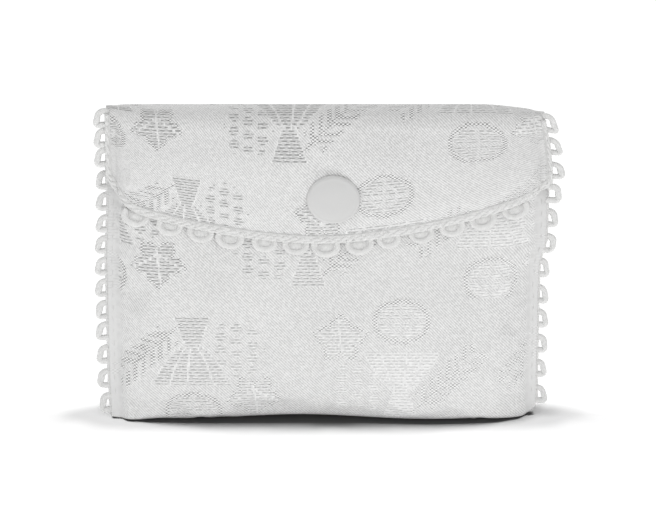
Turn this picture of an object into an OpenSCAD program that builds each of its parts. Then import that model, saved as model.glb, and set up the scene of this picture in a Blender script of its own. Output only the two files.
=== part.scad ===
// Satin snap pouch for a small prayer book: a padded envelope pocket of brocade satin,
// edged with picot lace, with a flap that folds over the mouth and snaps to the front.
// The front looks along -Y and the pouch stands on its bottom fold, with +Z up.

/* [Pouch] */
// Width across the side seams, without the lace
pouch_w = 97; // [94:0.5:104]
// Height to the top of the fold
pouch_h = 78.5; // [77:0.5:82]
// Thickness at the middle, without the flap
pouch_t = 10; // [9.5:0.5:13]
// Height of the pocket's mouth
mouth_z = 68; // [67.5:0.5:69]
// Height of the round at the bottom fold
bottom_round = 2.2; // [2:0.1:2.6]
// Share of the thickness that the pouch loses at its bottom and its top
slim = 0.25; // [0.1:0.01:0.28]
// Width of the flat seam along each side
seam_w = 2.4; // [2:0.1:3]
// Half the thickness of that seam
seam_half = 0.9; // [0.85:0.05:1.1]
// How far the seam's corner is rounded off at the bottom on the left
corner_left = 0.3; // [0:0.1:3]
// How far it is rounded off at the bottom on the right
corner_right = 2.4; // [0:0.1:3]

/* [Cloth] */
// Thickness of the satin cover
cover_t = 0.4; // [0.3:0.05:0.4]
// Thickness of the wadding
wadding_t = 0.8; // [0.6:0.05:0.8]
// Thickness of the lining
lining_t = 0.3; // [0.2:0.05:0.3]

/* [Flap] */
// Height of the flap's tip above the base
tip_z = 49; // [47.5:0.5:50]
// How far the flap's edge rises from the tip to the corners
edge_rise = 9; // [7:0.5:9]
// How far the flap's edge leans up towards the right
edge_skew = 1.1; // [0:0.1:1.5]
// How far the flap's left corner is rounded off
flap_corner_left = 5; // [1:0.5:6]
// How far its right corner is rounded off
flap_corner_right = 0.8; // [0.5:0.1:6]
// Height of the fold over the mouth
fold_h = 4; // [3.5:0.1:4.5]
// Space between the flap and the front of the pouch
flap_gap = 0.6; // [0.6:0.05:0.8]

/* [Snap] */
// Diameter of the cap
cap_d = 11.9; // [11.5:0.1:12.6]
// Height of the cap above the cloth
cap_h = 1.2; // [1.2:0.1:2]
// Diameter of the stud and the socket
snap_d = 10; // [9:0.1:10]
// Distance of the snap from the middle
snap_x = 1.4; // [0:0.1:2]
// Height of the snap above the base
snap_z = 58.9; // [58:0.1:59.2]

/* [Lace] */
// Distance that a loop stands out
loop_reach = 2.5; // [2.4:0.1:3.2]
// Height of a loop along the edge
loop_h = 4.8; // [4:0.1:4.8]
// Width of the loop's cord
loop_cord = 1.2; // [0.8:0.05:1.3]
// Height of the uppermost loop on the left side seam
left_loops_top = 62.5; // [58:0.5:63]
// Height of the uppermost loop on the right side seam
right_loops_top = 53; // [50:0.5:58]
// Height of the lowest loop's underside on the left side seam
left_loops_low = 1; // [0.5:0.5:3]
// Height of the lowest loop's underside on the right side seam
right_loops_low = 3; // [0.5:0.5:4]
// Width of the braid along the flap's curve
braid_w = 2.2; // [1.8:0.1:2.4]
// Width of the braid up the flap's sides
braid_side_w = 0.6; // [0.5:0.1:1.8]
// Loops on the left side seam
left_loops = 11; // [9:1:11]
// Loops on the right side seam
right_loops = 8; // [7:1:9]
// Loops along the flap's curve
curve_loops = 13; // [11:1:15]
// Half the width that those loops spread over
curve_half = 41; // [38:0.5:44]
// Loops on each side of the flap
flap_side_loops = 3; // [2:1:3]
// Distance from one of those loops to the next
flap_loop_pitch = 5; // [4.9:0.1:5.2]

/* [Hidden] */

ply_gap = 0.05;                                   // between two plies of one wall
wadding_d = cover_t + ply_gap;                    // depth of each ply below the outer face
lining_d = wadding_d + wadding_t + ply_gap;
wall_t = lining_d + lining_t;
flap_out = flap_gap + wall_t;                     // flap's outer face in front of the pouch's
fold_z = pouch_h - fold_h;                        // where the back wall turns into the fold
slim_low = 18;                                    // heights where the thickness starts to slim
slim_high = 66;
pillow_half = pouch_w / 2 - seam_w;               // half width of the padded part
across = 9;                                       // mesh steps from the middle to a side
squareness = 8;                                   // how square the padded section is
fold_power = 0.8;                                 // roundness of the top fold's section
split = 45;                                       // fold angle where the bodies meet
split_gap = 1.5;                                  // angle left open at that line
centre_y = (cap_h + flap_out) / 2;                // puts the whole object's middle at y = 0
trim_pitch = 3;                                   // length of one stitch and its gap
thread_d = 0.3;

// Half the depth of the pouch at a place on its front or back
function ends_share(z) = 1 - slim * pow(max(0, (slim_low - z) / slim_low), 2)
                           - slim * pow(max(0, (z - slim_high) / (fold_z - slim_high)), 2);
function side_share(x) = sqrt(max(0, 1 - pow(min(1, abs(x) / pillow_half), squareness)));
function half_depth(x, z) =
    seam_half + (pouch_t / 2 * ends_share(z) - seam_half) * side_share(x);

// Lower edge of the flap
edge_x = 45;
corner_r = 6;
function flap_corner(x) = x < 0 ? flap_corner_left : flap_corner_right;
function edge_z(x) = tip_z + edge_rise * pow(abs(x) / edge_x, 1.7) + edge_skew * x / edge_x
    + flap_corner(x) * pow(max(0, abs(x) - pouch_w / 2 + corner_r) / corner_r, 2);

// Columns across the cloth: all of them for the satin, and the padded part for the rest
padded_columns = [for (k = [1 - across : across - 1]) pillow_half * sin(90 * k / across)];
seam_mid = pouch_w / 2 - 0.4 * seam_w;
satin_columns = concat([-pouch_w / 2, -seam_mid, -pillow_half], padded_columns,
                       [pillow_half, seam_mid, pouch_w / 2]);

// A point on the top fold, from angle 0 at the back to 180 at the front, d below the surface
fold_shift = -flap_out / 2;
function fold_half(x) = half_depth(x, fold_z) + flap_out / 2;
function curved(c) = sign(c) * pow(abs(c), fold_power);
function fold_point(x, a, d) = [x, fold_shift + (fold_half(x) - d) * curved(cos(a)),
                                fold_z + (fold_h - d) * curved(sin(a))];

// One section of the pocket's strip at x: down the front, round the bottom and up the back
front_rows = [mouth_z, 60, 46, 32, 20, 12, 7];
back_rows = [7, 12, 20, 32, 46, 60, 66, 70, fold_z];
function corner_lift(x) = (x < 0 ? corner_left : corner_right)
    * pow(max(0, abs(x) - pillow_half + 1) / (seam_w + 1), 2);
function bottom_point(x, side, a, d) =
    let (half = half_depth(x, bottom_round) - d, round_y = min(bottom_round - d, 0.6 * half))
    [x, side * (half - round_y * (1 - cos(a))),
     d + (bottom_round - d) * (1 - sin(a)) + corner_lift(x)];
function pocket_section(x, d, top) = concat(
    [for (z = front_rows) [x, -(half_depth(x, z) - d), z]],
    [for (a = [0 : 30 : 90]) bottom_point(x, -1, a, d)],
    [for (a = [90 : -30 : 0]) bottom_point(x, 1, a, d)],
    [for (z = back_rows) [x, half_depth(x, z) - d, z]],
    [for (a = [15 : 15 : top]) fold_point(x, min(a, top - split_gap), d)]);
function fold_section(x, d) =
    [for (a = [split : 15 : 180 - split])
        fold_point(x, max(split + split_gap, min(a, 180 - split - split_gap)), d)];
function flap_section(x, d) = concat(
    [for (a = [180 - split : 15 : 165]) fold_point(x, max(a, 180 - split + split_gap), d)],
    [for (s = [0, 0.2, 0.4, 0.6, 0.8, 1])
        let (z = fold_z + s * (edge_z(x) - fold_z)) [x, -(half_depth(x, z) + flap_out - d), z]]);

// A closed ply between two matching grids of points
module ply(outer, inner) {
    rows = len(outer);
    columns = len(outer[0]);
    function at(side, p) = (side * rows + p[0]) * columns + p[1];
    rim = concat([for (j = [0 : columns - 1]) [0, j]],
                 [for (i = [1 : rows - 1]) [i, columns - 1]],
                 [for (j = [columns - 2 : -1 : 0]) [rows - 1, j]],
                 [for (i = [rows - 2 : -1 : 1]) [i, 0]]);
    cells = [for (i = [0 : rows - 2], j = [0 : columns - 2])
                [[i, j], [i + 1, j], [i + 1, j + 1], [i, j + 1]]];
    polyhedron(
        points = [for (grid = [outer, inner], row = grid, p = row) p],
        faces = concat(
            [for (c = cells, k = [1, 2]) [at(0, c[0]), at(0, c[k + 1]), at(0, c[k])]],
            [for (c = cells, k = [1, 2]) [at(1, c[0]), at(1, c[k]), at(1, c[k + 1])]],
            [for (k = [0 : len(rim) - 1])
                let (p = rim[k], q = rim[(k + 1) % len(rim)]) [at(0, q), at(0, p), at(1, p)]],
            [for (k = [0 : len(rim) - 1])
                let (p = rim[k], q = rim[(k + 1) % len(rim)]) [at(0, q), at(1, p), at(1, q)]]));
}

// Grids hold one row for each place along the strip, so sections are turned on their side
function turned(sections) = [for (i = [0 : len(sections[0]) - 1]) [for (s = sections) s[i]]];
module pocket_ply(columns, d, t) {
    ply(turned([for (x = columns) pocket_section(x, d, split)]),
        turned([for (x = columns) pocket_section(x, d + t, split)]));
}
module fold_ply(columns, d, t) {
    ply(turned([for (x = columns) fold_section(x, d)]),
        turned([for (x = columns) fold_section(x, d + t)]));
}
module flap_ply(columns, d, t) {
    ply(turned([for (x = columns) flap_section(x, d)]),
        turned([for (x = columns) flap_section(x, d + t)]));
}

// The snap's axis runs along Y, and depth is measured inwards from the pouch's front face
front_y = -pouch_t / 2;
module on_snap(depth) {
    translate([snap_x, front_y + depth, snap_z]) rotate([90, 0, 0]) children();
}
post_r = 1.25;
post_hole_r = 1.35;
well_r = snap_d / 2 + 0.7;                        // hollow that the snap sinks into
well_wall = 0.4;
well_floor = lining_d - ply_gap - cover_t;        // depth of the satin's face in the well
stud_top = 0.25;
bore_r = 2.9;
nib_r = 1.9;
nib_h = 1.45;
socket_low = -(flap_out - cover_t);               // depth of the satin's inner face on the flap
socket_high = 0.1;
socket_floor = 0.4;
cap_dome = 0.2;                                   // how much higher the cap is at its middle
module bore(r, from, to) { on_snap(to) cylinder(r = r, h = to - from, $fn = 48); }

module pocket_satin() {
    color("whitesmoke") difference() {
        union() {
            difference() {
                pocket_ply(satin_columns, 0, cover_t);
                bore(well_r + well_wall / 2, -1, cover_t + 0.5);
            }
            difference() {
                bore(well_r + well_wall, 0, well_floor + cover_t);
                bore(well_r, -1, well_floor);
            }
        }
        bore(post_hole_r, -1, wall_t + 1);
    }
}
module pocket_wadding() {
    color("white") difference() {
        pocket_ply(padded_columns, wadding_d, wadding_t);
        bore(well_r + well_wall + 0.1, -1, wall_t + 1);
    }
}
module pocket_lining() {
    color("snow") difference() {
        pocket_ply(padded_columns, lining_d, lining_t);
        bore(post_hole_r, -1, wall_t + 1);
    }
}
module fold_satin() { color("whitesmoke") fold_ply(satin_columns, 0, cover_t); }
module fold_wadding() { color("white") fold_ply(padded_columns, wadding_d, wadding_t); }
module fold_lining() { color("snow") fold_ply(padded_columns, lining_d, lining_t); }
module flap_satin() {
    color("whitesmoke") difference() {
        flap_ply(satin_columns, 0, cover_t);
        bore(post_hole_r, -flap_out - 1, 0);
    }
}
module flap_wadding() {
    color("white") difference() {
        flap_ply(padded_columns, wadding_d, wadding_t);
        bore(well_r, -flap_out - 1, 0);
    }
}
module flap_lining() {
    color("snow") difference() {
        flap_ply(padded_columns, lining_d, lining_t);
        bore(well_r, -flap_out - 1, 0);
    }
}

// Four parts of a resin snap: cap and socket on the flap, stud and its post on the pocket
module snap_cap() {
    color("white") on_snap(-flap_out) {
        rotate_extrude($fn = 64) polygon(concat(
            [[0, 0], [cap_d / 2 - 0.4, 0]],
            [for (a = [-30 : 15 : 60]) [cap_d / 2 - 0.6 + 0.6 * cos(a), 0.5 + 0.6 * sin(a)]],
            [for (s = [0.7, 0.45, 0.2, 0]) [s * cap_d / 2, cap_h - cap_dome * s * s]]));
    }
    color("white") bore(post_r, -flap_out, socket_low + socket_floor);
}
module snap_socket() {
    color("white") difference() {
        bore(snap_d / 2, socket_low, -socket_high);
        bore(bore_r, socket_low + socket_floor, 1);
        bore(post_hole_r, socket_low - 1, 0);
    }
}
module snap_stud() {
    color("white") difference() {
        union() {
            bore(snap_d / 2, stud_top, well_floor);
            on_snap(stud_top) rotate_extrude($fn = 48) polygon(
                [[0, -0.2], [nib_r - 0.3, -0.2], [nib_r - 0.3, 0.5], [nib_r, 0.8],
                 [nib_r - 0.15, 1.15], [nib_r - 0.6, nib_h], [0, nib_h]]);
        }
        bore(post_hole_r, -0.3, well_floor + 1);
    }
}
module snap_stud_post() {
    color("white") {
        bore(snap_d / 2, wall_t + 0.1, wall_t + 0.8);
        bore(post_r, -0.2, wall_t + 0.1);
    }
}

// One picot: round above and square below, on a base line along Y of the drawing
function picot(reach, half) = concat(
    [for (a = [90 : -15 : 0]) [reach * cos(a), half * sin(a)]],
    [for (a = [-15 : -15 : -90]) [reach * pow(cos(a), 0.4), -half * pow(-sin(a), 0.4)]]);
module picot_loop() {
    rotate([90, 0, 0]) translate([0, 0, -loop_cord / 2]) linear_extrude(loop_cord) difference() {
        polygon(picot(loop_reach, loop_h / 2));
        translate([-0.01, 0]) polygon(picot(loop_reach - loop_cord, loop_h / 2 - loop_cord));
    }
}

// Side lace: a tape between the two seam allowances, and the loops that stand out of it
tape_half = seam_half - cover_t - 0.1;
tape_low = 4;
tape_high = mouth_z - 2;
module side_lace(loops, low, top) {
    pitch = (top - low - loop_h) / (loops - 1);
    translate([pouch_w / 2 - seam_w + 0.3, -tape_half, tape_low])
        cube([seam_w - 0.15, 2 * tape_half, tape_high - tape_low]);
    for (k = [0 : loops - 1])
        translate([pouch_w / 2 + 0.05, 0, top - loop_h / 2 - k * pitch]) picot_loop();
}
module left_lace() {
    color("white") mirror([1, 0, 0]) side_lace(left_loops, left_loops_low, left_loops_top);
}
module right_lace() { color("white") side_lace(right_loops, right_loops_low, right_loops_top); }

// Flap lace: it follows the flap's edge from the left end of the fold to the right end
edge_top = pouch_h - 0.3;
edge_half = pouch_w / 2;
edge_step = 2;
left_z = [for (z = [edge_top : -edge_step : edge_z(-edge_half) + 0.5]) z];
right_z = [for (z = [edge_top : -edge_step : edge_z(edge_half) + 0.5]) z];
edge_path = concat(
    [for (z = left_z) [-edge_half, z]],
    [for (k = [-20 : 20]) let (x = edge_half * sin(90 * k / 20)) [x, edge_z(x)]],
    [for (i = [len(right_z) - 1 : -1 : 0]) [edge_half, right_z[i]]]);
path_n = len(edge_path);
function tangent_at(i) =
    let (v = edge_path[min(i + 1, path_n - 1)] - edge_path[max(i - 1, 0)]) v / norm(v);
// A point of the flap's face, at a share of the braid's width out from its edge, d deep
edge_clear = 0.15;
braid_d = 0.3;
braid_t = 1;
function braid_width(t) = braid_side_w + (braid_w - braid_side_w) * abs(t[0]);
function on_face(p, d) = [p[0], -(half_depth(p[0], p[1]) + flap_out - d), p[1]];
function beside(i, share, d) =
    let (t = tangent_at(i), out = edge_clear + share * braid_width(t))
    on_face(edge_path[i] + out * [t[1], -t[0]], d);
module braid() {
    ply([for (share = [0, 0.5, 1]) [for (i = [0 : path_n - 1]) beside(i, share, braid_d)]],
        [for (share = [0, 0.5, 1])
            [for (i = [0 : path_n - 1]) beside(i, share, braid_d + braid_t)]]);
}
loop_base = edge_clear - 0.1;
module flap_loop(p, a, base) {
    q = on_face(p + base * [sin(a), -cos(a)], braid_d + braid_t / 2);
    translate(q) rotate([0, 90 - a, 0]) picot_loop();
}
module flap_lace() {
    side_base = loop_base + braid_side_w;
    color("white") {
        braid();
        for (k = [0 : flap_side_loops - 1]) {
            drop = loop_h / 2 + k * flap_loop_pitch;
            flap_loop([-edge_half, edge_top - drop], -90, side_base);
            flap_loop([edge_half, edge_top - drop - 0.6], 90, side_base);
        }
        for (k = [0 : curve_loops - 1]) {
            x = curve_half * (2 * k / (curve_loops - 1) - 1);
            a = atan2(edge_z(x + 0.5) - edge_z(x - 0.5), 1);
            flap_loop([x, edge_z(x)], a, loop_base + braid_side_w + (braid_w - braid_side_w) * cos(a));
        }
    }
}

// A row of thread stitches, each from one point to the next
module stitch(a, b) {
    v = b - a;
    translate(a) rotate([0, acos(v[2] / norm(v)), atan2(v[1], v[0])])
        cylinder(d = thread_d, h = norm(v), $fn = 6);
}
stitch_share = 0.7;
stitch_lift = 0.2;
module seam_stitches() {
    for (z = [6 : trim_pitch : mouth_z - 3], side = [-1, 1])
        stitch([pouch_w / 2 - 1, side * (seam_half + stitch_lift), z],
               [pouch_w / 2 - 1, side * (seam_half + stitch_lift), z + stitch_share * trim_pitch]);
}
module left_seam_stitches() { color("white") mirror([1, 0, 0]) seam_stitches(); }
module right_seam_stitches() { color("white") seam_stitches(); }
hem_z = mouth_z - 2.5;
module mouth_stitches() {
    color("white") for (x = [-40.5 : trim_pitch : 39]) {
        to = x + stitch_share * trim_pitch;
        stitch([x, -half_depth(x, hem_z) - stitch_lift, hem_z],
               [to, -half_depth(to, hem_z) - stitch_lift, hem_z]);
    }
}
flap_hem = 1.4;
module flap_stitches() {
    color("white") for (x = [-40.5 : trim_pitch : 39]) {
        to = x + stitch_share * trim_pitch;
        za = edge_z(x) + flap_hem;
        zb = edge_z(to) + flap_hem;
        stitch([x, -(half_depth(x, za) + flap_out + stitch_lift), za],
               [to, -(half_depth(to, zb) + flap_out + stitch_lift), zb]);
    }
}

translate([0, centre_y, 0]) {
    pocket_satin();
    pocket_wadding();
    pocket_lining();
    left_lace();
    right_lace();
    left_seam_stitches();
    right_seam_stitches();
    mouth_stitches();
    snap_stud();
    snap_stud_post();
    fold_satin();
    fold_wadding();
    fold_lining();
    flap_satin();
    flap_wadding();
    flap_lining();
    flap_lace();
    flap_stitches();
    snap_cap();
    snap_socket();
}
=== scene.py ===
import math

import bpy
import numpy as np
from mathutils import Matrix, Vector


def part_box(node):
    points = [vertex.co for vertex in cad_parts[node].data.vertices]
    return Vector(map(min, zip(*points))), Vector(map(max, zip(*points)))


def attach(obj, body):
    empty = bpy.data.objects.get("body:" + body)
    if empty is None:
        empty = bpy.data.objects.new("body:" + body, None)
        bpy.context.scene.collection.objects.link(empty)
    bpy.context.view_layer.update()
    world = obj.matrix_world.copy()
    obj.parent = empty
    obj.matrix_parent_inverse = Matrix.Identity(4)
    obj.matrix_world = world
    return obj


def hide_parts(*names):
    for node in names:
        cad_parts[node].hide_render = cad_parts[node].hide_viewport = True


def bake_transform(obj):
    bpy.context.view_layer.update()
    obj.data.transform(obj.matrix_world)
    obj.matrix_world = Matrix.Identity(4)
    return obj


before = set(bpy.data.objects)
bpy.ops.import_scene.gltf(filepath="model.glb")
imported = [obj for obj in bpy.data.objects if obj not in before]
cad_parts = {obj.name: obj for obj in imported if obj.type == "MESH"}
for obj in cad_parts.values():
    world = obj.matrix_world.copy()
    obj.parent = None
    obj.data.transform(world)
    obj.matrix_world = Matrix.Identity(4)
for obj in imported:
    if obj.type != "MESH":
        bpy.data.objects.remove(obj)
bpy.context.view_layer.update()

MM = 0.001

# ---------------------------------------------------------------- sizes, from the frame, in mm
p_lo, p_hi = (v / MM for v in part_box("pocket_satin"))
f_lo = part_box("flap_satin")[0] / MM
c_lo, c_hi = (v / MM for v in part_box("snap_cap"))
CY = (p_lo.y + p_hi.y) / 2                  # the middle of the pocket, front to back
EDGE_X = (p_hi.x - p_lo.x) / 2              # the side edges
THICK = p_hi.y - p_lo.y                     # the pocket's depth
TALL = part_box("fold_satin")[1].z / MM       # the top of the fold
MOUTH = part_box("left_lace")[1].z / MM + 2   # the pocket's front ends here
OUT = p_lo.y - f_lo.y                       # the flap's face in front of the pocket's
TIP = f_lo.z                                # the lowest point of the flap
SNAP_X, SNAP_Z = (c_lo.x + c_hi.x) / 2, (c_lo.z + c_hi.z) / 2
CAP_R = (c_hi.x - c_lo.x) / 2
CAP_H = f_lo.y - c_lo.y

SEAM_W = 2.4                                # width of the flat seam at each side
SEAM = 0.9                                  # half its thickness
PAD = EDGE_X - SEAM_W                       # half the padded width
SLIM = 0.25                                 # share of its depth that the pocket loses at its ends
LOW, HIGH = 18.0, 66.0                      # it slims below the first height and above the second
ROUND = 2.2                                 # radius of the bottom fold
FOLD_H = 4.0                                # height of the top fold's curve
FOLD_Z = TALL - FOLD_H
SATIN = 0.4                                 # thickness of the satin
WAD_D, WAD_T = 0.45, 0.8                    # depth and thickness of the wadding
LIN_D, LIN_T = 1.3, 0.3                     # depth and thickness of the lining


def ease(v):
    """0 below 0 and 1 above 1, with a smooth step between."""
    v = np.clip(v, 0, 1)
    return v * v * (3 - 2 * v)


def over(v, start, span):
    """0 up to start, 1 past start + span."""
    return ease((v - start) / span)


def under(v, start, span):
    """0 down to start, 1 past start - span."""
    return ease((start - v) / span)


def hump(v, middle, width):
    """1 at the middle, falling away on both sides."""
    return np.exp(-((v - middle) / width) ** 2)


def half(x, z):
    """Half the pocket's depth at a place on its front or back."""
    ends = 1 - SLIM * np.maximum(0, (LOW - z) / LOW) ** 2
    ends = ends - SLIM * np.maximum(0, (z - HIGH) / (FOLD_Z - HIGH)) ** 2
    side = np.sqrt(np.maximum(0, 1 - np.minimum(1, np.abs(x) / PAD) ** 8))
    return SEAM + (THICK / 2 * ends - SEAM) * side


def edge(x):
    """Height of the flap's lower edge."""
    x = np.asarray(x, float)
    corner = np.where(x < 0, 5.0, 0.8)
    corner_w = 6.0
    round_off = corner * (np.maximum(0, np.abs(x) - EDGE_X + corner_w) / corner_w) ** 2
    rise, slant, reach = 9.0, 1.1, 45.0
    return TIP + rise * (np.abs(x) / reach) ** 1.7 + slant * x / reach + round_off


def lift(x):
    """How far the bottom corners are rounded off."""
    return np.where(x < 0, 0.3, 2.4) * (np.maximum(0, np.abs(x) - PAD + 1) / (SEAM_W + 1)) ** 2


def curved(c):
    """A cosine or sine drawn out towards a squarer curve."""
    return np.sign(c) * np.abs(c) ** 0.8


def hand_sewn(p, flap=False):
    """The sewn pouch isn't quite square: its sides lean, its bottom waves and its top corners differ."""
    p = np.array(p, float)
    x, z = p[..., 0].copy(), p[..., 2].copy()
    # how far each side edge stands out, by height
    left = 0.35 + 0.6 * under(z, 54, 14) - 0.35 * under(z, 12, 12)
    right = -1.0 + 1.5 * over(z, 38, 8) + 0.15 * under(z, 10, 10) - 0.9 * over(z, 71, 7)
    if flap:
        right = right + 0.85 * hump(z, 63, 6.5)
    near_side = np.clip(np.abs(x) / EDGE_X, 0, 1.15) ** 3
    p[..., 0] += np.where(x < 0, -left, right) * near_side
    # the top edge rises a little on the left and falls on the right
    top_edge = 0.35 * under(x, -36, 12) - 1.25 * (np.maximum(0, x - 31) / 17.5) ** 2
    p[..., 2] += top_edge * over(z, 60, 15)
    # the bottom edge waves forwards and back, and its middle lifts off the table
    wave = -0.8 * hump(x, 23, 13) + 0.4 * hump(x, -5, 14) - 1.7 * hump(x, -47, 6)
    p[..., 1] += wave * hump(z, 0, 9)
    p[..., 2] += 0.6 * hump(x, -6, 15) * hump(z, 0, 6)
    return p


def station(kind, t, x, d):
    """One row of points across the cloth's strip, d mm below its face, in the pocket's own frame."""
    if kind in ("front", "back"):
        side = -1 if kind == "front" else 1
        lift_end = 9.0
        z = t + lift(x) * np.clip((lift_end - t) / (lift_end - ROUND), 0, 1)
        return np.stack([x, side * (half(x, z) - d), z], -1)
    if kind in ("bottom_front", "bottom_back", "base"):
        h = half(x, ROUND) - d
        ry = np.minimum(ROUND - d, 0.6 * h)
        if kind == "base":
            return np.stack([x, t * (h - ry), d + lift(x)], -1)
        side = -1 if kind == "bottom_front" else 1
        a = math.radians(t)
        z = d + (ROUND - d) * (1 - math.sin(a)) + lift(x)
        return np.stack([x, side * (h - ry * (1 - math.cos(a))), z], -1)
    if kind == "fold":
        a = math.radians(t)
        h = half(x, FOLD_Z) + OUT / 2
        y = -OUT / 2 + (h - d) * curved(math.cos(a))
        return np.stack([x, y, FOLD_Z + (FOLD_H - d) * curved(math.sin(a)) + 0 * x], -1)
    z = FOLD_Z + t * (edge(x) - FOLD_Z)
    return np.stack([x, -(half(x, z) + OUT - d), z], -1)


def grid(rows, x, d):
    """The strip's points at these rows and positions across it, d mm below its face."""
    d = np.broadcast_to(np.asarray(d, float), (len(rows), len(x)))
    return np.stack([station(k, t, x, d[i]) for i, (k, t) in enumerate(rows)])


def spaced(a, b, step):
    """Even steps from a to b, about `step` apart."""
    n = max(2, int(round(abs(b - a) / step)) + 1)
    return list(np.linspace(a, b, n))


FLAP_RUN = 26.0                             # about the flap's length, from the fold to its tip


def strip_rows(step):
    """The rows of the strip's two halves, the pocket's and the flap's, which meet on top of the fold."""
    turn = 90 * step / 3.5                  # the bottom fold's quarter turn is 3.5 mm of cloth
    bend = 90 * step / 8                    # the top fold's is 8 mm
    pocket = [("front", z) for z in spaced(MOUTH, ROUND, step)]
    pocket += [("bottom_front", a) for a in spaced(0, 90, turn)[1:]]
    pocket += [("base", t) for t in spaced(-1, 1, step / 2)[1:-1]]
    pocket += [("bottom_back", a) for a in spaced(90, 0, turn)]
    pocket += [("back", z) for z in spaced(ROUND, FOLD_Z, step)[1:]]
    pocket += [("fold", a) for a in spaced(0, 90, bend)[1:]]
    flap = [("fold", a) for a in spaced(90, 180, bend)[:-1]]
    flap += [("flap", t) for t in spaced(0, 1, step / FLAP_RUN)]
    return pocket, flap


def columns(step, reach):
    """Positions across the cloth, finer towards the sides."""
    n = int(round(reach / step))
    t = np.linspace(-1, 1, 2 * n + 1)
    return reach * (0.72 * t + 0.28 * np.sign(t) * (1 - (1 - np.abs(t)) ** 2.2))


def across(x):
    """Distance across the cloth itself, in mm: it climbs the sides of the padding."""
    fine = np.linspace(0, EDGE_X, 1500)
    run = np.concatenate([[0], np.cumsum(np.hypot(np.diff(fine), np.diff(half(fine, 40.0))))])
    return np.sign(x) * np.interp(np.abs(x), fine, run)


def along(rows):
    """Distance along the strip at the middle, in mm, from the mouth."""
    mid = np.stack([station(k, t, np.array([0.0]), 0.0)[0] for k, t in rows])
    return np.concatenate([[0], np.cumsum(np.linalg.norm(np.diff(mid, axis=0), axis=1))])


def normals(p):
    """Unit normals of a grid of points, pointing outwards."""
    n = np.cross(np.gradient(p, axis=0), np.gradient(p, axis=1))
    return n / np.maximum(np.linalg.norm(n, axis=-1, keepdims=True), 1e-9)


# ---------------------------------------------------------------- meshes
def new_object(name, verts, faces, material, uv, sharp=None):
    """A smooth mesh in the frame's metres, from points in the pocket's own millimetres."""
    verts = np.asarray(verts, float).reshape(-1, 3) + (0, CY, 0)
    mesh = bpy.data.meshes.new(name)
    mesh.from_pydata((verts * MM).tolist(), [], faces)
    mesh.materials.append(material)
    mesh.polygons.foreach_set("use_smooth", [True] * len(mesh.polygons))
    layer = mesh.uv_layers.new(name="cloth")
    index = np.empty(len(mesh.loops), np.int64)
    mesh.loops.foreach_get("vertex_index", index)
    layer.data.foreach_set("uv", np.asarray(uv, np.float32)[index].ravel())
    if sharp is not None:
        pairs = np.empty(len(mesh.edges) * 2, np.int64)
        mesh.edges.foreach_get("vertices", pairs)
        pairs = pairs.reshape(-1, 2)
        mark = mesh.attributes.new("sharp_edge", "BOOLEAN", "EDGE")
        mark.data.foreach_set("value", (sharp[pairs[:, 0]] & sharp[pairs[:, 1]]).tolist())
    mesh.validate()
    mesh.update()
    ob = bpy.data.objects.new(name, mesh)
    bpy.context.scene.collection.objects.link(ob)
    return ob


def grid_faces(rows, cols):
    """The faces of a grid of points."""
    i, j = np.meshgrid(np.arange(rows - 1), np.arange(cols - 1), indexing="ij")
    a = (i * cols + j).ravel()
    return np.stack([a, a + cols, a + cols + 1, a + 1], 1)


def ring_faces(rings, sides):
    """The faces of a closed part made of rings of points, with its two ends."""
    faces = []
    for i in range(rings - 1):
        for j in range(sides):
            m = (j + 1) % sides
            faces.append((i * sides + j, i * sides + m, (i + 1) * sides + m, (i + 1) * sides + j))
    faces.append(tuple(range(sides - 1, -1, -1)))
    faces.append(tuple((rings - 1) * sides + j for j in range(sides)))
    return faces


def ply(name, outer, inner, uv, material):
    """A closed sheet between two matching grids of points."""
    rows, cols = outer.shape[:2]
    verts = np.concatenate([outer.reshape(-1, 3), inner.reshape(-1, 3)])
    n = rows * cols
    quads = grid_faces(rows, cols)
    faces = quads.tolist() + (quads[:, ::-1] + n).tolist()
    rim = list(range(cols)) + [i * cols + cols - 1 for i in range(1, rows)]
    rim += [(rows - 1) * cols + j for j in range(cols - 2, -1, -1)]
    rim += [i * cols for i in range(rows - 2, 0, -1)]
    for k in range(len(rim)):
        p, q = rim[k], rim[(k + 1) % len(rim)]
        faces.append((p, q, q + n, p + n))
    on_rim = np.zeros(2 * n, bool)
    on_rim[rim] = True
    on_rim[np.array(rim) + n] = True
    return new_object(name, verts, faces, material, np.concatenate([uv, uv]), on_rim)


def tube(path, up, wide, thick, sides=10, power=1.0):
    """Points and faces of a cord along a path, thick along `up` and wide across it."""
    path = np.asarray(path, float)
    up = np.broadcast_to(np.asarray(up, float), path.shape)
    tangent = np.gradient(path, axis=0)
    tangent /= np.linalg.norm(tangent, axis=1, keepdims=True)
    side = np.cross(tangent, up)
    side /= np.linalg.norm(side, axis=1, keepdims=True)
    top = np.cross(side, tangent)
    wide = np.broadcast_to(wide, len(path))[:, None, None] / 2
    thick = np.broadcast_to(thick, len(path))[:, None, None] / 2
    a = np.linspace(0, 2 * np.pi, sides, endpoint=False)
    ca = (np.sign(np.cos(a)) * np.abs(np.cos(a)) ** power)[None, :, None]
    sa = (np.sign(np.sin(a)) * np.abs(np.sin(a)) ** power)[None, :, None]
    ring = path[:, None] + side[:, None] * ca * wide + top[:, None] * sa * thick
    run = np.concatenate([[0], np.cumsum(np.linalg.norm(np.diff(path, axis=0), axis=1))])
    girth = float(np.mean(wide) + np.mean(thick)) * np.pi
    around = np.arange(sides)[None, :] / sides * girth
    uv = np.stack(np.broadcast_arrays(around, run[:, None]), -1).reshape(-1, 2)
    return ring.reshape(-1, 3), ring_faces(len(path), sides), uv


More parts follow.
